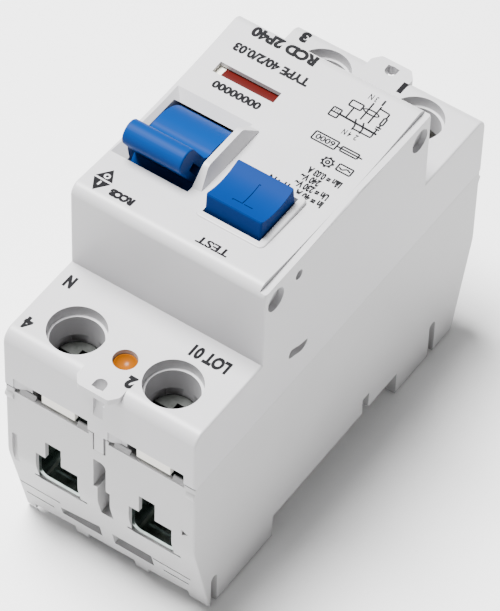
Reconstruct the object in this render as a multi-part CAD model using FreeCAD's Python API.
"""Two-pole residual current device for a 35 mm top-hat rail.

The device lies on its back: +Z points out of the front face, X runs across the
two poles and Y along the terminals.  The line terminals 1 and 3 are at +Y and
the load terminals 2 and 4/N at -Y.  z = 0 is the rearmost plane of the housing.
All sizes are in millimetres.  Each function returns one sub-part.
"""
import FreeCAD, Part
import math
import os

V = FreeCAD.Vector

# ---------------------------------------------------------------- driving sizes
WIDTH = 35.6                 # two 17.8 mm modules
HALF_W = WIDTH / 2
LENGTH = 80.0                # over the terminal shoulders
HALF_L = LENGTH / 2
SEAM_Z = 35.4                # base and upper housing meet here
SEAM_GAP = 0.04
SHOULDER_Z = 48.0
NOSE_HALF = 22.5             # 45 mm nose that passes a panel cut-out
NOSE_Z = 65.3                # nose height at its two ends
NOSE_DIP_Z = 64.2            # the front face dips towards the toggle
WALL = 1.5
FACE_T = 1.8                 # thickness of the front face

RAIL_SEAT_Z = 5.3
RAIL_NEAR_Y = -17.7          # rail recess, from the clip side
RAIL_FAR_Y = 18.1            # to the fixed hook side
TAPER_Z = 19.0               # the ends taper in below this height
END_Y = 39.75                # end faces of the base
FOOT_Y = 35.1                # ends at z = 0

POLE_X = (-8.9, 8.9)         # screw axes of the two poles
SCREW_Y = 33.1
CHAMBER_LO, CHAMBER_HI = -4.3, 5.8       # chamber across X, from the screw axis
CHAMBER_Y0, CHAMBER_Y1 = 28.9, 38.9
CHAMBER_Z = 15.0
BUS_Z = 38.1                 # top of the busbar slot
SLOT_SILL_Z = 34.7           # bottom of the busbar slot
FLOOR_Z = 7.0                # inside floor
CAVITY_Y = 27.4              # inside length of the works compartment

PIVOT = (-3.7, 57.4)         # toggle axis, as (y, z)
DRUM_R = 8.2
TOGGLE_X = (-15.1, -4.3)
TOGGLE_LEAN = 32.0           # degrees towards -Y when switched on
TOGGLE_SWING = 68.0
CRANK_R = 5.5                # toggle pivot to link pin
PIN_R = 1.0
RUN = 0.05                   # radial running clearance

CARRIER = (6.0, 17.0)        # contact carrier axis, as (y, z)
CARRIER_SWING = 24.0
LINK_X = (-10.9, -8.5)

BUTTON_X = (1.1, 11.2)
BUTTON_Y = (-14.55, -4.5)
BUTTON_TOP = 68.5
BUTTON_GAP = 0.15

FLAG = (11.1, 58.4)          # contact position flag axis, as (y, z)
FLAG_R = 5.2
FLAG_X = (-15.2, -2.6)
WINDOW_X = (-14.45, -3.1)
WINDOW_Y = (10.0, 12.3)

TOROID = (0.0, -17.0, 18.4)  # summation transformer centre
TOROID_IN, TOROID_OUT, TOROID_W = 5.0, 8.6, 7.0

RELAY = (1.6, 15.8, -19.6, -6.8, 31.0, 47.6)     # trip relay case, x y z ranges
PLUNGER_Y, PLUNGER_Z = -13.0, 38.5
LEVER_PIVOT = (-1.7, 46.5)   # trip lever axis along Y, as (x, z)

SEAL_X, SEAL_Y = 0.35, 33.5  # fastener plug between the load terminals
SEAL_R = 2.0

CLIP_X = (-5.2, 3.4)         # rail clip
CLIP_Z = (0.5, 2.0)
CLIP_PLAY = 0.1

CAGE_LO, CAGE_HI = -4.0, 5.5             # lift cage across X, from the screw axis
CAGE_Y = (29.2, 38.5)
CAGE_Z = (15.3, 31.8)
CAGE_WALL = 0.8
NUT_Z = 28.8                 # underside of the threaded top of the cage
PLATE_Z = (24.4, 25.9)       # terminal bars
SCREW_R = 2.5

CONTACT_Y = 18.2
FIXED_TIP_Z = 13.4           # top of the fixed contact arms
ARM_RING_R = 2.1


# ---------------------------------------------------------------- helpers
def box(x0, x1, y0, y1, z0, z1):
    return Part.makeBox(x1 - x0, y1 - y0, z1 - z0, V(x0, y0, z0))


def rod_x(y, z, r, x0, x1):
    return Part.makeCylinder(r, x1 - x0, V(x0, y, z), V(1, 0, 0))


def rod_y(x, z, r, y0, y1):
    return Part.makeCylinder(r, y1 - y0, V(x, y0, z), V(0, 1, 0))


def rod_z(x, y, r, z0, z1):
    return Part.makeCylinder(r, z1 - z0, V(x, y, z0), V(0, 0, 1))


def prism(points, direction):
    """Extrude a closed polygon given as 3-D points."""
    face = Part.Face(Part.makePolygon([V(*p) for p in points] + [V(*points[0])]))
    return face.extrude(V(*direction))


def prism_x(yz, x0, x1):
    return prism([(x0, y, z) for y, z in yz], (x1 - x0, 0, 0))


def prism_y(xz, y0, y1):
    return prism([(x, y0, z) for x, z in xz], (0, y1 - y0, 0))


def prism_z(xy, z0, z1):
    return prism([(x, y, z0) for x, y in xy], (0, 0, z1 - z0))


def fuse(shapes):
    first = shapes[0]
    return first.multiFuse(shapes[1:]).removeSplitter() if len(shapes) > 1 else first


def cut(shape, tools):
    return shape.cut(Part.makeCompound(tools)).removeSplitter() if tools else shape


def rounded(shape, radius, pick):
    """Fillet the edges for which pick(edge) is true."""
    return shape.makeFillet(radius, [e for e in shape.Edges if pick(e)])


def along(edge, axis):
    """True for a straight edge that runs along axis 0, 1 or 2."""
    if not isinstance(edge.Curve, Part.Line):
        return False
    d = edge.tangentAt(edge.FirstParameter)
    return abs(abs(d[axis]) - 1) < 1e-6


def at(edge, axis, value):
    return abs(edge.CenterOfMass[axis] - value) < 1e-3


def both_ends(shapes):
    """The shapes at the load end and their mirror images at the line end."""
    plane = (V(0, 0, 0), V(0, 1, 0))
    return shapes + [s.mirror(*plane) for s in shapes]


def turned(shape, centre, degrees):
    """Turn a shape about the X axis through centre = (y, z)."""
    copy = shape.copy()
    copy.rotate(V(0, centre[0], centre[1]), V(1, 0, 0), degrees)
    return copy


def sector_x(centre, r_in, r_out, a0, a1, x0, x1):
    """Ring sector about an X axis; angles from +Z, positive towards -Y."""
    y, z = centre
    profile = [V(x0, y, z + r_in), V(x1, y, z + r_in), V(x1, y, z + r_out),
               V(x0, y, z + r_out), V(x0, y, z + r_in)]
    face = Part.Face(Part.makePolygon(profile))
    ring = face.revolve(V(0, y, z), V(1, 0, 0), a1 - a0)
    return turned(ring, centre, a0)


def coil_z(x, y, z0, z1, radius, wire, turns):
    """Compression spring along Z with its wire centre between z0 and z1."""
    helix = Part.makeLongHelix((z1 - z0) / turns, z1 - z0, radius)
    helix.translate(V(x, y, z0))
    section = Part.Wire(Part.makeCircle(wire, V(x + radius, y, z0), V(0, 1, 0)))
    return Part.Wire(helix.Edges).makePipeShell([section], True, True)


# ---------------------------------------------------------------- housing
def base_blank():
    outline = [(-FOOT_Y, 0), (-END_Y, TAPER_Z), (-END_Y, SEAM_Z),
               (END_Y, SEAM_Z), (END_Y, TAPER_Z), (FOOT_Y, 0)]
    blank = prism_x(outline, -HALF_W, HALF_W)
    blank = rounded(blank, 9.0, lambda e: along(e, 0) and at(e, 2, TAPER_Z))
    blank = rounded(blank, 1.0, lambda e: along(e, 0) and at(e, 2, 0))
    return rounded(blank, 0.35, lambda e: abs(abs(e.CenterOfMass.x) - HALF_W) < 1e-3
                   and not at(e, 2, SEAM_Z))


def wire_openings():
    """Entry for the conductor, with a narrower slot above it."""
    tools = []
    for x in POLE_X:
        tools.append(box(x - 3.4, x + 4.65, -41, -CHAMBER_Y1 + 0.5, 14.8, 22.3))
        tools.append(box(x - 1.5, x + 1.5, -41, -CHAMBER_Y1 + 0.5, 22.0, 26.3))
    return both_ends(tools)


def base_chambers():
    tools = []
    for x in POLE_X:
        tools.append(box(x + CHAMBER_LO, x + CHAMBER_HI,
                         -CHAMBER_Y1, -CHAMBER_Y0, CHAMBER_Z, SEAM_Z + 1))
    return both_ends(tools)


def end_mouldings():
    """Slots, core-outs and grooves moulded in each end face of the base."""
    slope = (END_Y - FOOT_Y) / TAPER_Z
    upper_slot = box(-1.2, 1.15, -41, -29.5, 22.4, 29.1)
    upper_slot = rounded(upper_slot, 1.2, lambda e: along(e, 1) and at(e, 0, 1.15)
                         and at(e, 2, 29.1))
    tools = [upper_slot,
             box(-0.45, 1.9, -41, -29.5, 15.0, 22.5),
             box(-1.25, 1.15, -41, -END_Y + 1.1, 31.5, SEAM_Z + 1),
             box(-16.8, -15.8, -41, -END_Y + 0.6, 16.4, 24.1),
             prism_y([(15.4, 24.0), (16.6, 23.3), (15.5, 22.6)], -41, -END_Y + 0.5)]

    def recess(x0, x1, z0, z_left, z_right, depth):
        outer = FOOT_Y + slope * z0 + 1.5
        inner = FOOT_Y + slope * z0 - depth
        tools.append(prism_y([(x0, z0), (x1, z0), (x1, z_right), (x0, z_left)],
                             -outer, -inner))

    recess(-9.8, -2.0, 4.9, 6.9, 8.3, 1.6)
    recess(0.4, 8.0, 4.9, 8.2, 8.4, 1.6)
    recess(-17.9, -9.6, 8.5, 8.9, 8.9, 0.1)
    recess(-16.8, -11.4, 5.1, 5.5, 5.5, 0.5)
    recess(8.2, 15.4, 7.7, 8.1, 8.1, 0.5)
    recess(9.9, 14.7, 5.3, 5.7, 5.7, 0.5)
    for x0, x1 in ((-15.9, -7.8), (-5.5, 3.7), (6.2, 14.1)):
        recess(x0, x1, -1.0, 1.7, 2.4, 1.5)
    return both_ends(tools)


def rail_recess():
    hollow = prism_x([(RAIL_NEAR_Y, -1), (RAIL_NEAR_Y, RAIL_SEAT_Z),
                      (RAIL_FAR_Y, RAIL_SEAT_Z), (RAIL_FAR_Y, -1)],
                     -HALF_W - 1, HALF_W + 1)
    groove = box(-HALF_W - 1, HALF_W + 1, 7.8, 9.7, 0, 8.9)
    return [hollow, groove]


def foot_slots():
    """Narrow slots in both side faces, next to the two feet."""
    tools = []
    for side in (-1, 1):
        for y0, y1, top in ((-34.8, -33.1, 7.4), (27.7, 29.4, 8.0)):
            x0, x1 = sorted((side * (HALF_W - 3.0), side * (HALF_W + 1)))
            slot = box(x0, x1, y0, y1, -1, top - 0.8)
            arch = rod_x((y0 + y1) / 2, top - 0.85, (y1 - y0) / 2, x0, x1)
            tools.append(slot.fuse(arch))
    return tools


def clip_channel():
    """Guide for the rail clip through the load-side foot, and its spring pocket."""
    x0, x1 = CLIP_X[0] - CLIP_PLAY, CLIP_X[1] + CLIP_PLAY
    return [box(x0, x1, -41, RAIL_NEAR_Y + 1, CLIP_Z[0] - 0.1, CLIP_Z[1] + CLIP_PLAY),
            box(x0 + 1.0, x1 - 1.0, -41, RAIL_NEAR_Y + 1, -1, CLIP_Z[0] + 0.1),
            box(x0, x1, -24.0, RAIL_NEAR_Y + 1, CLIP_Z[0] - 0.1, 4.5),
            box(-2.6, 0.8, -33.2, -24.6, CLIP_Z[1], 5.7)]


def base_housing():
    body = base_blank()
    works = box(-HALF_W + WALL, HALF_W - WALL, -CAVITY_Y, CAVITY_Y, FLOOR_Z, SEAM_Z + 1)
    groove_roof = box(-HALF_W + WALL, HALF_W - WALL, 6.6, 10.9, FLOOR_Z - 1, 10.2)
    passages = [box(x - 3.2, x + 3.2, -CHAMBER_Y0 - 1, -CAVITY_Y + 1, 24.2, SEAM_Z + 1)
                for x in POLE_X]
    tools = [works.cut(groove_roof)] + base_chambers() + both_ends(passages)
    tools += wire_openings() + end_mouldings() + rail_recess() + foot_slots()
    tools += clip_channel() + busbar_thresholds()
    body = cut(body, tools)
    return fuse([body] + base_lips() + base_supports() + fixed_hooks() + corner_snaps())


def busbar_thresholds():
    """Lowers the end wall under each busbar slot."""
    return both_ends([box(x - 7.2, x + 6.9, -41, -CHAMBER_Y1 + 0.5, SLOT_SILL_Z, SEAM_Z + 1)
                      for x in POLE_X])


def base_lips():
    """Lead-in wedges that steer a busbar fork into its slot."""
    wedges = []
    for x in POLE_X:
        for x0, x1 in ((x - 6.4, x - 3.4), (x + 4.5, x + 6.9)):
            wedges.append(prism_x([(-END_Y + 0.02, SLOT_SILL_Z - 0.3),
                                   (-CHAMBER_Y1, SLOT_SILL_Z - 0.3),
                                   (-CHAMBER_Y1, SEAM_Z), (-CHAMBER_Y1 - 0.2, SEAM_Z)], x0, x1))
    return both_ends(wedges)


def base_supports():
    """Bearing posts of the carrier, cradle of the toroid, posts of the frame."""
    y, z = CARRIER
    parts = []
    for x0, x1 in ((-HALF_W + WALL, -14.9), (14.9, HALF_W - WALL)):
        post = box(x0, x1, y - 3, y + 3, FLOOR_Z, z)
        post = post.fuse(rod_x(y, z, 3.0, x0, x1))
        parts.append(post.cut(rod_x(y, z, 1.25, x0, x1)))
    tx, ty, tz = TOROID
    cradle = box(tx - 7, tx + 7, ty - 3, ty + 3, FLOOR_Z, tz - 4)
    parts.append(cradle.cut(rod_y(tx, tz, TOROID_OUT + 1.25, ty - 6, ty + 6)))
    for x0, x1 in ((-HALF_W + WALL, -14.9), (-5.4, -4.2)):
        parts.append(box(x0, x1, -9.6, -6.4, FLOOR_Z, 24.0))
    parts.append(box(15.0, HALF_W - WALL, -9.6, -6.6, FLOOR_Z, 31.0))
    return parts


def fixed_hooks():
    """Two lips on the line side that hold the rail edge from behind."""
    outline = [(RAIL_FAR_Y + 0.5, 1.0), (RAIL_FAR_Y, 1.0), (RAIL_FAR_Y - 1.7, 2.6),
               (RAIL_FAR_Y - 1.7, 3.9), (RAIL_FAR_Y + 0.5, 3.9)]
    return [prism_x(outline, x0, x0 + 7.0) for x0 in (-13.0, 6.0)]


def corner_snaps():
    """Snap noses just under the seam, one in each corner of the ends."""
    noses = []
    for x0, x1 in ((-HALF_W + 0.1, -16.2), (16.2, HALF_W - 0.1)):
        noses.append(prism_x([(-END_Y + 0.3, 31.8), (-END_Y - 0.35, 33.4),
                              (-END_Y - 0.35, 33.8), (-END_Y + 0.3, 34.6)], x0, x1))
    return both_ends(noses)


def nose_arc():
    return Part.Arc(V(0, -NOSE_HALF, NOSE_Z), V(0, 0, NOSE_DIP_Z),
                    V(0, NOSE_HALF, NOSE_Z)).toShape()


def upper_blank():
    z0 = SEAM_Z + SEAM_GAP
    points = [(NOSE_HALF, NOSE_Z), (NOSE_HALF, SHOULDER_Z), (HALF_L, SHOULDER_Z),
              (HALF_L, z0 + 0.6), (HALF_L - 0.5, z0), (-HALF_L + 0.5, z0),
              (-HALF_L, z0 + 0.6), (-HALF_L, SHOULDER_Z), (-NOSE_HALF, SHOULDER_Z),
              (-NOSE_HALF, NOSE_Z)]
    corners = [V(0, y, z) for y, z in points]
    sides = [Part.makeLine(a, b) for a, b in zip(corners, corners[1:])]
    outline = Part.Wire(Part.__sortEdges__([nose_arc()] + sides))
    blank = Part.Face(outline).extrude(V(WIDTH, 0, 0))
    blank.translate(V(-HALF_W, 0, 0))
    blank = rounded(blank, 2.3, lambda e: along(e, 0) and at(e, 2, SHOULDER_Z)
                    and abs(e.CenterOfMass.y) > NOSE_HALF + 1)
    blank = rounded(blank, 1.8, lambda e: along(e, 0) and at(e, 2, NOSE_Z))
    return rounded(blank, 0.35, lambda e: abs(abs(e.CenterOfMass.x) - HALF_W) < 1e-3
                   and e.BoundBox.ZMax > z0 + 0.7)


def nose_interior():
    """The hollow under the shoulders and the nose."""
    under_nose = box(-HALF_W + WALL, HALF_W - WALL, -NOSE_HALF + WALL, NOSE_HALF - WALL,
                     SEAM_Z - 1, NOSE_DIP_Z - FACE_T)
    under_shoulders = box(-HALF_W + WALL, HALF_W - WALL, -CAVITY_Y, CAVITY_Y,
                          SEAM_Z - 1, SHOULDER_Z - WALL)
    return [under_nose, under_shoulders]


def toggle_pocket():
    """Opening of the toggle with sloped left and far sides."""
    y0, y1 = -12.45, 2.9
    x0, x1 = -15.4, -3.2
    z_top = NOSE_DIP_Z + 1.0
    drop = 1.75
    z_in = NOSE_DIP_Z + 0.1 - drop
    opening = box(x0, x1, y0, y1, 50, z_top)
    grow = z_top - z_in
    slopes = Part.makeLoft([
        Part.makePolygon([V(x, y, z_in) for x, y in
                          ((x0, y0), (x1, y0), (x1, y1), (x0, y1), (x0, y0))]),
        Part.makePolygon([V(x, y, z_top) for x, y in
                          ((x0 - grow, y0 - 0.2), (x1, y0 - 0.2), (x1, y1 + grow),
                           (x0 - grow, y1 + grow), (x0 - grow, y0 - 0.2))])], True)
    below = rod_x(PIVOT[0], PIVOT[1], DRUM_R + 0.4, -HALF_W + WALL, -3.9)
    return [opening, slopes, below]


def guard_fin():
    """Fin between the toggle and the test button."""
    root = NOSE_DIP_Z - 1.5
    top = NOSE_DIP_Z + 3.1
    side = [(-11.7, root), (-11.7, NOSE_DIP_Z), (-8.5, top), (0.5, top),
            (3.9, NOSE_DIP_Z + 0.3), (3.9, root)]
    fin = prism_x(side, -3.2, -1.5)
    fin = rounded(fin, 1.6, lambda e: along(e, 0) and at(e, 2, top))
    slant = prism_y([(-2.35, top + 0.5), (-1.45, NOSE_DIP_Z), (-1.0, NOSE_DIP_Z),
                     (-1.0, top + 0.5)], -13, 5)
    return fin.cut(slant)


def button_lip():
    """Low frame around the test button."""
    x0, x1 = BUTTON_X[0] - 1.0, BUTTON_X[1] + 1.3
    y0, y1 = BUTTON_Y[0] - 1.2, BUTTON_Y[1] + 1.1
    frame = box(x0, x1, y0, y1, NOSE_DIP_Z - 1.0, NOSE_DIP_Z + 0.75)
    frame = rounded(frame, 1.0, lambda e: along(e, 2))
    return rounded(frame, 0.3, lambda e: at(e, 2, NOSE_DIP_Z + 0.75))


def button_hole():
    g = BUTTON_GAP
    return box(BUTTON_X[0] - g, BUTTON_X[1] + g, BUTTON_Y[0] - g, BUTTON_Y[1] + g, 55, 70)


def flag_window():
    window = box(*WINDOW_X, *WINDOW_Y, 55, 70)
    relief = rod_x(FLAG[0], FLAG[1], FLAG_R + 0.25, FLAG_X[0] - 0.3, FLAG_X[1] + 0.3)
    return [window, relief]


def side_ledge():
    """Flat strip that runs along the top of the right-hand side wall."""
    return box(HALF_W - 1.15, HALF_W + 1, -NOSE_HALF - 1, NOSE_HALF + 1,
               NOSE_DIP_Z, NOSE_Z + 2)


def side_holes():
    """Blind holes and slots for side-mounted accessories, in both side walls."""
    tools = []
    for side in (-1, 1):
        def hole(y, z, r, depth):
            x0, x1 = sorted((side * (HALF_W - depth), side * (HALF_W + 1)))
            return rod_x(y, z, r, x0, x1)
        tools += [hole(-19.5, 60.7, 2.1, 1.1), hole(19.5, 60.7, 2.1, 1.1),
                  hole(-13.4, 60.6, 0.9, 1.1)]
    return tools


def crescent_slot():
    """Shallow banana-shaped slot in the right side wall."""
    outline = Part.BSplineCurve()
    outline.interpolate([V(0, y, z) for y, z in
                         ((-15.15, 43.05), (-14.5, 43.8), (-13.6, 43.55), (-11.8, 42.75),
                          (-10.05, 42.15), (-10.75, 41.25), (-12.2, 41.15), (-13.8, 41.8))],
                        PeriodicFlag=True)
    face = Part.Face(Part.Wire(outline.toShape()))
    slot = face.extrude(V(3, 0, 0))
    slot.translate(V(HALF_W - 1.0, 0, 0))
    return slot


def terminal_wells():
    """Stepped screwdriver wells over the terminal screws."""
    tools = []
    for x in POLE_X:
        tools.append(rod_z(x, -SCREW_Y, 4.75, 46.0, SHOULDER_Z + 1))
        tools.append(rod_z(x, -SCREW_Y, 4.3, 38.0, 47.0))
    return both_ends(tools)


def upper_chambers():
    """Room around the screw heads, open to the busbar slots in the end faces."""
    tools = []
    for x in POLE_X:
        lo, hi = x + CHAMBER_LO, x + CHAMBER_HI + 1.1
        tools.append(box(lo, hi, -CHAMBER_Y1, -CHAMBER_Y0, SEAM_Z - 1, 41.8))
        tools.append(box(lo, hi, -HALF_L - 1, -CHAMBER_Y1 + 1, SEAM_Z - 1, BUS_Z))
        tools.append(prism_z([(x - 7.2, -HALF_L - 1), (x - 7.2, -HALF_L + 0.3),
                              (lo - 1.0, -CHAMBER_Y1), (lo + 0.5, -CHAMBER_Y1),
                              (lo + 0.5, -HALF_L - 1)], SEAM_Z - 1, BUS_Z))
    return both_ends(tools)


def label_tab():
    """Tab with a sealing hole, in the middle of each end."""
    outline = [(-4.0, -37.0), (-4.0, -39.9), (-2.8, -41.4), (2.8, -41.4),
               (4.0, -39.9), (4.0, -37.0)]
    tab = prism_z(outline, SHOULDER_Z - 1.2, SHOULDER_Z)
    tab = rounded(tab, 0.8, lambda e: along(e, 2) and e.CenterOfMass.y < -39)
    gusset = prism_x([(-37.0, SHOULDER_Z - 0.1), (-37.0, 44.6), (-39.98, 44.6),
                      (-40.7, SHOULDER_Z - 1.2), (-40.7, SHOULDER_Z - 0.1)], -1.8, 1.8)
    return both_ends([tab, gusset])


def seal_holes():
    """D-shaped hole in each tab and the dimple in the pillar below it."""
    drop = rod_z(0.1, -39.45, 1.05, 43.6, SHOULDER_Z + 1)
    point = box(-0.95, 1.15, -40.4, -39.45, 43.6, SHOULDER_Z + 1)
    dimple = prism_x([(-41, 43.8), (-39.2, 43.8), (-HALF_L, 40.4), (-41, 40.4)], -0.95, 0.85)
    return both_ends([drop.fuse(point), dimple])


def latch_tongue():
    """Tongue of the upper housing that snaps over the base between the slots."""
    return both_ends([box(-0.9, 0.8, -END_Y - 0.1, -END_Y + 1.0, 31.7, SEAM_Z + 0.5)])


def flag_lugs():
    """Carries the right-hand end of the flag pin."""
    lug = box(FLAG_X[1] + 0.4, FLAG_X[1] + 1.7, FLAG[0] - 1.6, FLAG[0] + 1.6,
              FLAG[1] - 1.6, NOSE_DIP_Z - 1)
    return lug


def upper_housing():
    body = upper_blank()
    body = body.cut(side_ledge())
    tools = nose_interior() + upper_chambers()
    tools += [rod_z(SEAL_X, -SEAL_Y, SEAL_R, 43.5, SHOULDER_Z + 1)]
    body = cut(body, tools)
    body = fuse([body, guard_fin(), button_lip(), flag_lugs()] + label_tab() + latch_tongue())
    tools = terminal_wells() + toggle_pocket() + [button_hole()] + flag_window()
    tools += side_holes() + seal_holes() + [flag_pin_bore(), crescent_slot()]
    return cut(body, tools)


def flag_pin_bore():
    return rod_x(FLAG[0], FLAG[1], 0.8, -HALF_W + 0.7, FLAG_X[1] + 1.3)


def seal_plug():
    """Sealed cap of the housing fastener between the load terminals."""
    top = 47.2
    plug = rod_z(SEAL_X, -SEAL_Y, SEAL_R - 0.02, 43.5, top)
    plug = rounded(plug, 0.3, lambda e: at(e, 2, top))
    return plug.cut(Part.makeSphere(2.0, V(SEAL_X, -SEAL_Y, top + 1.1)))


# ---------------------------------------------------------------- rail clip
def rail_clip():
    x0, x1 = CLIP_X
    z0, z1 = CLIP_Z
    plate = box(x0, x1, -34.6, -17.0, z0, z1)
    nose = prism_x([(-20.5, z1 - 0.2), (-20.5, 3.9), (-16.2, 3.9), (-16.2, 3.2),
                    (-17.4, z0), (-18.5, z0)], x0, x1)
    lug = box(-2.3, 0.5, -26.2, -25.0, z1 - 0.2, 5.4)
    grip = box(-3.0, 1.2, -33.4, -32.2, z0 - 0.1, z1 + 0.1)
    return fuse([plate, nose, lug]).cut(grip)


def rail_clip_spring():
    """Coil between the clip lug and the end of its pocket, along Y."""
    coil = coil_z(0, 0, 0, 6.2, 1.0, 0.2, 6)
    coil.rotate(V(0, 0, 0), V(1, 0, 0), 90)
    coil.translate(V(-0.9, -26.5, 3.75))
    return coil


# ---------------------------------------------------------------- terminals
TERMINALS = {"1": (POLE_X[1], 1), "2": (POLE_X[1], -1),
             "3": (POLE_X[0], 1), "4": (POLE_X[0], -1)}


def at_end(shape, end):
    """Shapes are drawn at the load end; end = 1 mirrors them to the line end."""
    return shape if end < 0 else shape.mirror(V(0, 0, 0), V(0, 1, 0))


def terminal_cage(x, end):
    """Rectangular lift cage: bottom saddle, side walls and threaded top."""
    y0, y1 = -CAGE_Y[1], -CAGE_Y[0]
    cage = box(x + CAGE_LO, x + CAGE_HI, y0, y1, *CAGE_Z)
    cage = rounded(cage, 2.2, lambda e: along(e, 1) and at(e, 2, CAGE_Z[0]))
    inside = box(x + CAGE_LO + CAGE_WALL, x + CAGE_HI - CAGE_WALL, y0 - 1, y1 + 1,
                 CAGE_Z[0] + CAGE_WALL, NUT_Z)
    inside = rounded(inside, 1.4, lambda e: along(e, 1) and at(e, 2, CAGE_Z[0] + CAGE_WALL))
    ribs = [box(x + CAGE_LO + 2.4, x + CAGE_HI - 2.4, y, y + 0.5,
                CAGE_Z[0] + CAGE_WALL - 0.1, CAGE_Z[0] + CAGE_WALL + 0.35)
            for y in (y0 + 1.6, y0 + 3.6, y0 + 5.6)]
    cage = cage.cut(inside).cut(rod_z(x, -SCREW_Y, SCREW_R + RUN, NUT_Z - 1, 33))
    return at_end(fuse([cage] + ribs), end)


def terminal_screw(x, end):
    """Cheese-head screw with a combined slot and cross recess."""
    top = 40.8
    head = rod_z(x, -SCREW_Y, 4.0, 38.3, top)
    head = rounded(head, 0.35, lambda e: at(e, 2, top))
    slot = box(x - 4.2, x + 4.2, -SCREW_Y - 0.5, -SCREW_Y + 0.5, top - 1.3, top + 1)
    cross = box(x - 0.6, x + 0.6, -SCREW_Y - 2.1, -SCREW_Y + 2.1, top - 1.6, top + 1)
    shank = rod_z(x, -SCREW_Y, SCREW_R, PLATE_Z[1] + 0.15, 38.4)
    return at_end(fuse([head, shank]).cut(slot).cut(cross), end)


def terminal_guard(x, end):
    """Insulating shutter that hangs in the busbar slot from a thin leaf."""
    block = box(x - 2.1, x + 4.1, -39.5, -38.65, 35.5, 37.9)
    leaf = box(x - 2.1, x + 4.1, -38.88, -38.65, 35.5, 41.7)
    return at_end(block.fuse(leaf).removeSplitter(), end)


def line_conductor(x):
    """Terminal bar, step down and fixed contact arm of one pole."""
    bar = box(x - 2.6, x + 2.6, 22.4, 37.4, *PLATE_Z)
    riser = box(x - 2.6, x + 2.6, 22.4, 23.9, 12.0, PLATE_Z[1])
    arm = box(x - 2.6, x + 2.6, 16.4, 23.9, 12.0, 13.4)
    bent = fuse([bar, riser, arm])
    return rounded(bent, 0.6, lambda e: along(e, 0) and (at(e, 1, 22.4) or at(e, 1, 23.9))
                   and not (at(e, 1, 22.4) and at(e, 2, 12.0)))


def load_conductor(x):
    """Terminal bar and the primary conductor that passes through the toroid."""
    bar = box(x - 2.6, x + 2.6, -37.4, -25.6, *PLATE_Z)
    side = 1 if x > 0 else -1
    tx, _, tz = TOROID
    radius = 1.25
    end_z = (PLATE_Z[0] + PLATE_Z[1]) / 2
    path = [V(x, -26.6, end_z), V(tx + side * 2.2, -23.4, tz),
            V(tx + side * 2.2, -9.6, tz)]
    rods = []
    for a, b in zip(path, path[1:]):
        rods.append(Part.makeCylinder(radius, (b - a).Length, a, b - a))
    joints = [Part.makeSphere(radius, p) for p in path]
    return fuse([bar] + rods + joints)


def flexible_braid(x):
    """Braided lead from the primary conductor towards the moving contact arm."""
    side = 1 if x > 0 else -1
    tz = TOROID[2]
    path = [V(side * 2.2, -7.0, tz), V(side * 3.2, -4.6, tz - 1.2), V(x, -1.0, CARRIER[1] - 0.5)]
    parts = [Part.makeSphere(1.2, p) for p in path]
    for a, b in zip(path, path[1:]):
        parts.append(Part.makeCylinder(1.2, (b - a).Length, a, b - a))
    return fuse(parts)


# ---------------------------------------------------------------- contacts
def fixed_contacts():
    """Silver buttons on the two fixed contact arms."""
    return Part.makeCompound([rod_z(x, CONTACT_Y, 1.7, FIXED_TIP_Z, FIXED_TIP_Z + 0.8)
                              for x in POLE_X])


def moving_contacts():
    """Silver buttons under the two moving arms; a hair above the fixed ones."""
    z0 = FIXED_TIP_Z + 0.84
    return Part.makeCompound([rod_z(x, CONTACT_Y, 1.6, z0, z0 + 0.8) for x in POLE_X])


def contact_arm(x):
    """Copper arm that hangs on the carrier shaft by a ring."""
    z0 = FIXED_TIP_Z + 1.64
    y, z = CARRIER
    outline = [(y, z + 0.9), (CONTACT_Y + 1.9, z0 + 1.3), (CONTACT_Y + 1.9, z0),
               (CONTACT_Y - 1.9, z0), (y, z - 1.1)]
    blade = prism_x(outline, x - 1.7, x + 1.7)
    tail = box(x - 1.7, x + 1.7, y - 5.0, y, z - 1.1, z + 0.9)
    ring = rod_x(y, z, ARM_RING_R, x - 1.7, x + 1.7)
    return fuse([blade, ring, tail]).cut(rod_x(y, z, 1.25 + RUN, -HALF_W, HALF_W))


def carrier_lever_radius():
    """Lever length that gives the same stroke as the toggle crank."""
    stroke = 2 * CRANK_R * math.sin(math.radians(TOGGLE_SWING / 2))
    return stroke / (2 * math.sin(math.radians(CARRIER_SWING / 2)))


def contact_carrier():
    """Moulded shaft across both poles, with the lever that the link moves."""
    y, z = CARRIER
    shaft = rod_x(y, z, 3.1, -14.6, 14.6)
    blocks = [box(x - 2.6, x + 2.6, y - 3.6, y + 4.4, z - 2.8, z + 3.2) for x in POLE_X]
    reach = carrier_lever_radius()
    lever = box(-8.2, -6.2, y - 1.8, y + 1.8, z, z + reach + 1.8)
    lever = rounded(lever, 1.6, lambda e: along(e, 0) and at(e, 2, z + reach + 1.8))
    slot = fuse([box(-9, -5, y - PIN_R + 0.2, y + PIN_R - 0.2, z + reach - 1.7, z + reach)]
                + [rod_x(y, z + dz, PIN_R - 0.2, -9, -5) for dz in (reach, reach - 1.7)])
    lever = turned(lever.cut(slot), CARRIER, -CARRIER_SWING / 2)
    body = fuse([shaft, lever] + blocks)
    for x in POLE_X:
        body = body.cut(box(x - 1.75, x + 1.75, y - 8, y + 8, z - 1.7, z + 0.95))
        body = body.cut(rod_x(y, z, ARM_RING_R + 0.05, x - 1.75, x + 1.75))
    return body.cut(rod_x(y, z, 1.25 + RUN, -20, 20))


def carrier_shaft():
    return rod_x(CARRIER[0], CARRIER[1], 1.25, -HALF_W + WALL, HALF_W - WALL)


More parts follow.
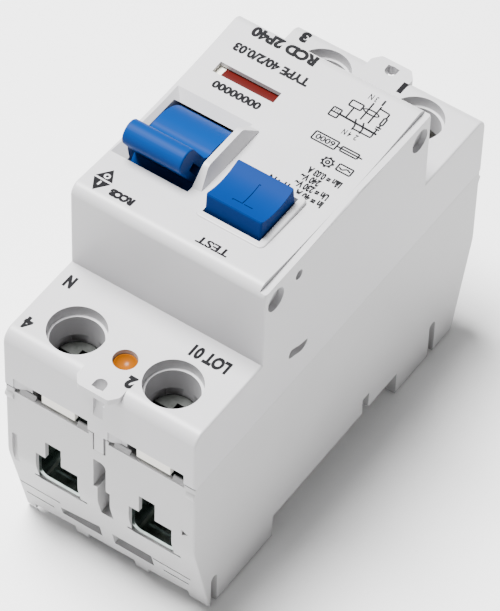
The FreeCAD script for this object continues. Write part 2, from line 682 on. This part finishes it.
def contact_springs():
    """Leaf springs that press the arms down onto the fixed contacts."""
    y, z = CARRIER
    leaves = []
    for x in POLE_X:
        leaf = prism_x([(y - 2.4, z + 3.2), (y - 2.4, z + 3.5), (y + 4.6, z + 3.5),
                        (y + 11.0, z + 0.1), (y + 11.0, z - 0.2), (y + 4.7, z + 3.2)],
                       x - 1.2, x + 0.6)
        leaves.append(leaf)
    return Part.makeCompound(leaves)


# ---------------------------------------------------------------- toggle mechanism
def pin_spot(centre, radius, degrees):
    """Point at radius from centre; angle from +Z, positive towards -Y."""
    a = math.radians(degrees)
    return centre[0] - radius * math.sin(a), centre[1] + radius * math.cos(a)


CRANK_PIN = pin_spot(PIVOT, CRANK_R, 180 + TOGGLE_SWING / 2)
LEVER_PIN = pin_spot(CARRIER, carrier_lever_radius(), -CARRIER_SWING / 2)


def toggle():
    """Drum segment with two cheeks and a paddle, drawn upright and then leaned."""
    py, pz = PIVOT
    x0, x1 = TOGGLE_X
    rim = sector_x(PIVOT, DRUM_R - 2.0, DRUM_R, -98, 98, x0, x1)
    cheeks = [rod_x(py, pz, DRUM_R - 1.0, a, b) for a, b in ((x0, x0 + 2.0), (x1 - 2.0, x1))]
    half = 2.1
    paddle = box(x0, x1, py - half, py + half, pz + DRUM_R - 1.5, pz + 15.8)
    paddle = rounded(paddle, half - 0.05, lambda e: along(e, 0) and at(e, 2, pz + 15.8))
    paddle = rounded(paddle, 0.25, lambda e: e.BoundBox.XLength < 1e-6
                     and e.CenterOfMass.z > pz + DRUM_R)
    blend = 1.6
    blend_v = half + blend
    blend_u = math.sqrt((DRUM_R + blend) ** 2 - blend_v ** 2)
    web = box(x0, x1, py, py + blend_v, pz + DRUM_R - 2.0, pz + blend_u)
    web = web.cut(rod_x(py + blend_v, pz + blend_u, blend, x0 - 1, x1 + 1))
    seal_slot = box(x0 - 1, x1 + 1, py - 0.9, py + 0.5, pz + 8.3, pz + 11.7)
    body = fuse([rim, paddle, web] + cheeks).cut(seal_slot)
    body = turned(body, PIVOT, TOGGLE_LEAN)
    holes = [rod_x(py, pz, PIN_R + RUN, x0 - 1, x1 + 1),
             rod_x(*CRANK_PIN, PIN_R, x0 + 0.8, x1 - 0.8)]
    return cut(body, holes)


def toggle_axle():
    return rod_x(PIVOT[0], PIVOT[1], PIN_R, -16.1, -3.35)


def crank_pin():
    return rod_x(*CRANK_PIN, PIN_R, TOGGLE_X[0] + 0.8, TOGGLE_X[1] - 0.8)


def toggle_spring():
    """Torsion spring around the axle, between the link and the right cheek."""
    coil = coil_z(0, 0, 0, 1.4, 1.75, 0.28, 2)
    coil.rotate(V(0, 0, 0), V(0, 1, 0), 90)
    coil.translate(V(-8.05, PIVOT[0], PIVOT[1]))
    return coil


def operating_link():
    """Strap from the crank pin to the lever of the contact carrier."""
    x0, x1 = LINK_X
    (ay, az), (by, bz) = CRANK_PIN, LEVER_PIN
    length = math.hypot(by - ay, bz - az)
    ny, nz = -(bz - az) / length * 1.1, (by - ay) / length * 1.1
    strap = prism_x([(ay + ny, az + nz), (by + ny, bz + nz), (by - ny, bz - nz),
                     (ay - ny, az - nz)], x0, x1)
    ends = [rod_x(ay, az, 1.9, x0, x1), rod_x(by, bz, 1.6, x0, x1)]
    bar = fuse([strap] + ends).cut(rod_x(ay, az, PIN_R + RUN, x0 - 1, x1 + 1))
    lower_pin = rod_x(by, bz, PIN_R - 0.35, x1 - 0.5, -6.0)
    return fuse([bar, lower_pin])


def mechanism_frame():
    """Two steel side plates joined by a bridge; carries the toggle axle."""
    py, pz = PIVOT
    plates = []
    for x0, x1 in ((-16.2, -15.4), (-4.0, -3.2)):
        plate = prism_x([(-9.6, 24.0), (-6.4, 24.0), (py + 3.2, 44.0), (py + 3.2, pz),
                         (py - 3.2, pz), (py - 3.2, 44.0)], x0, x1)
        plate = plate.fuse(rod_x(py, pz, 3.2, x0, x1))
        plates.append(plate)
    bridge = box(-16.2, -3.2, -9.6, -8.8, 28.0, 33.0)
    plates.append(box(-5.4, -3.2, -9.6, -6.4, 24.0, 24.8))
    frame = fuse(plates + [bridge])
    return frame.cut(rod_x(py, pz, PIN_R, -17, -3))


# ---------------------------------------------------------------- flag
def flag_drum():
    """Pale drum segment that shows the contact position in the window."""
    x0, x1 = FLAG_X
    rim = sector_x(FLAG, FLAG_R - 1.0, FLAG_R - 0.1, -92, 30, x0, x1)
    cheeks = [sector_x(FLAG, 0, FLAG_R - 0.5, -92, 30, a, b)
              for a, b in ((x0, x0 + 1.0), (x1 - 1.0, x1))]
    hubs = [rod_x(FLAG[0], FLAG[1], 1.6, a, b) for a, b in ((x0, x0 + 1.0), (x1 - 1.0, x1))]
    drum = fuse([rim] + cheeks + hubs)
    return drum.cut(rod_x(FLAG[0], FLAG[1], 0.8, x0 - 1, x1 + 1))


def flag_foil(a0, a1):
    return sector_x(FLAG, FLAG_R - 0.1, FLAG_R, a0, a1, FLAG_X[0] + 1.9, FLAG_X[1] - 0.2)


def flag_axle():
    return rod_x(FLAG[0], FLAG[1], 0.75, -HALF_W + 0.8, FLAG_X[1] + 1.2)


# ---------------------------------------------------------------- tripping group
def relay_case():
    case = box(*RELAY)
    case = rounded(case, 0.8, lambda e: along(e, 2))
    return case.cut(rod_x(PLUNGER_Y, PLUNGER_Z, 1.0 + RUN, RELAY[0] - 1, RELAY[0] + 6))


def trip_plunger():
    """Spring-loaded pin that the relay releases towards the trip lever."""
    pin = rod_x(PLUNGER_Y, PLUNGER_Z, 1.0, RELAY[0] - 2.3, RELAY[0] + 3.0)
    return rounded(pin, 0.3, lambda e: at(e, 0, RELAY[0] - 2.3))


def trip_lever():
    """Rocking lever that the plunger pushes to release the latch."""
    x, z = LEVER_PIVOT
    lower = box(x - 0.7, x + 0.7, PLUNGER_Y - 2.0, PLUNGER_Y + 2.0, PLUNGER_Z - 2.0, z)
    upper = box(x - 0.7, x + 0.7, PLUNGER_Y - 2.0, PLUNGER_Y + 6.5, z, z + 3.6)
    hub = rod_y(x, z, 1.5, PLUNGER_Y - 2.0, PLUNGER_Y + 2.0)
    return fuse([lower, upper, hub]).cut(rod_y(x, z, 0.8 + RUN, -30, 0))


def trip_lever_pin():
    """Pin with the bracket that ties it to the relay case."""
    x, z = LEVER_PIVOT
    pin = rod_y(x, z, 0.8, -17.0, PLUNGER_Y + 3.4)
    bracket = box(x - 1.0, RELAY[0], -17.8, -16.9, z - 1.6, z + 1.6)
    return fuse([pin, bracket])


def toroid_core():
    tx, ty, tz = TOROID
    ring = rod_y(tx, tz, TOROID_OUT, ty - TOROID_W / 2, ty + TOROID_W / 2)
    return ring.cut(rod_y(tx, tz, TOROID_IN, ty - 10, ty + 10))


def toroid_winding():
    """Secondary winding as bundles of turns around the core."""
    tx, ty, tz = TOROID
    t = 0.8
    outer = rod_y(tx, tz, TOROID_OUT + t, ty - TOROID_W / 2 - t, ty + TOROID_W / 2 + t)
    ring = outer.cut(rod_y(tx, tz, TOROID_IN - t, ty - 10, ty + 10)).cut(
        rod_y(tx, tz, TOROID_OUT, ty - TOROID_W / 2, ty + TOROID_W / 2).cut(
            rod_y(tx, tz, TOROID_IN, ty - 10, ty + 10)))
    count = 12
    bundles = []
    for i in range(count):
        wedge = prism([(tx, ty - 6, tz), (tx - 2.6, ty - 6, tz + 12), (tx + 2.6, ty - 6, tz + 12)],
                      (0, 12, 0))
        wedge.rotate(V(tx, ty, tz), V(0, 1, 0), i * 360 / count + 15)
        bundles.append(ring.common(wedge))
    return Part.makeCompound(bundles)


# ---------------------------------------------------------------- test circuit
def test_button():
    """Blue button with a dished top, and a retaining flange under the face."""
    (x0, x1), (y0, y1) = BUTTON_X, BUTTON_Y
    cap = prism_x([(y0, 60.0), (y0 + 0.55, BUTTON_TOP), (y1 - 0.9, BUTTON_TOP), (y1, 60.0)],
                  x0, x1)
    cap = rounded(cap, 0.6, lambda e: along(e, 0) and at(e, 2, BUTTON_TOP))
    cap = rounded(cap, 0.3, lambda e: abs(e.CenterOfMass.x - x0) < 1e-3
                  or abs(e.CenterOfMass.x - x1) < 1e-3)
    dish_r = 10.5
    sag = 1.0
    dish = rod_x((y0 + y1) / 2 - 0.2, BUTTON_TOP + dish_r - sag, dish_r, x0 - 1, x1 + 1)
    flange = box(x0 - 0.9, x1 + 0.9, y0 - 0.9, y1 + 0.9, 59.2, 61.0)
    guide = rod_z(6.15, -9.5, 1.8, 54.5, 59.3)
    dished = cap.cut(dish)
    letter = fuse([box(6.25, 6.6, -12.0, -7.4, 62, 70), box(4.6, 8.2, -12.3, -11.95, 62, 70)])
    skin = dished.cut(dished.translated(V(0, 0, -0.15)))
    return fuse([dished.cut(skin.common(letter)), flange, guide])


def test_spring():
    return coil_z(6.15, -9.5, RELAY[5] + 0.3, 58.9, 2.4, 0.25, 6)


def test_contact():
    """Bent strip that the button flange presses onto its resistor lead."""
    x0, x1 = 12.6, 15.2
    return fuse([box(x0, x1, -12.0, -11.5, RELAY[5], 52.0),
                 box(x0, x1, -12.0, -7.0, 51.6, 52.0)])


def test_resistor():
    body = rod_y(13.6, RELAY[5] + 1.7, 1.2, -18.6, -13.2)
    leads = rod_y(13.6, RELAY[5] + 1.7, 0.3, -19.6, -12.02)
    return fuse([body, leads])


# ---------------------------------------------------------------- export
def parts():
    made = {
        "base_housing": base_housing(),
        "upper_housing": upper_housing(),
        "seal_plug": seal_plug(),
        "rail_clip": rail_clip(),
        "rail_clip_spring": rail_clip_spring(),
        "fixed_contacts": fixed_contacts(),
        "moving_contacts": moving_contacts(),
        "contact_carrier": contact_carrier(),
        "carrier_shaft": carrier_shaft(),
        "contact_springs": contact_springs(),
        "toggle": toggle(),
        "toggle_axle": toggle_axle(),
        "toggle_spring": toggle_spring(),
        "crank_pin": crank_pin(),
        "operating_link": operating_link(),
        "mechanism_frame": mechanism_frame(),
        "flag_drum": flag_drum(),
        "flag_foil_on": flag_foil(-27, 27),
        "flag_foil_off": flag_foil(-88, -33),
        "flag_axle": flag_axle(),
        "relay_case": relay_case(),
        "trip_plunger": trip_plunger(),
        "trip_lever": trip_lever(),
        "trip_lever_pin": trip_lever_pin(),
        "toroid_core": toroid_core(),
        "toroid_winding": toroid_winding(),
        "test_button": test_button(),
        "test_spring": test_spring(),
        "test_contact": test_contact(),
        "test_resistor": test_resistor(),
    }
    for number, (x, end) in TERMINALS.items():
        made["terminal_screw_" + number] = terminal_screw(x, end)
        made["terminal_cage_" + number] = terminal_cage(x, end)
        made["terminal_guard_" + number] = terminal_guard(x, end)
    for number, x in (("1", POLE_X[1]), ("3", POLE_X[0])):
        made["line_conductor_" + number] = line_conductor(x)
        made["contact_arm_" + number] = contact_arm(x)
        made["flexible_braid_" + number] = flexible_braid(x)
    for number, x in (("2", POLE_X[1]), ("4", POLE_X[0])):
        made["load_conductor_" + number] = load_conductor(x)
    return made


def main():
    os.makedirs("parts", exist_ok=True)
    for name, shape in parts().items():
        shape.exportStep("parts/" + name + ".step")
        size = shape.optimalBoundingBox()
        print("%-20s solids %2d valid %s  vol %9.2f  x %.2f %.2f  y %.2f %.2f  z %.2f %.2f" % (
            name, len(shape.Solids), shape.isValid(), shape.Volume,
            size.XMin, size.XMax, size.YMin, size.YMax, size.ZMin, size.ZMax))


main()
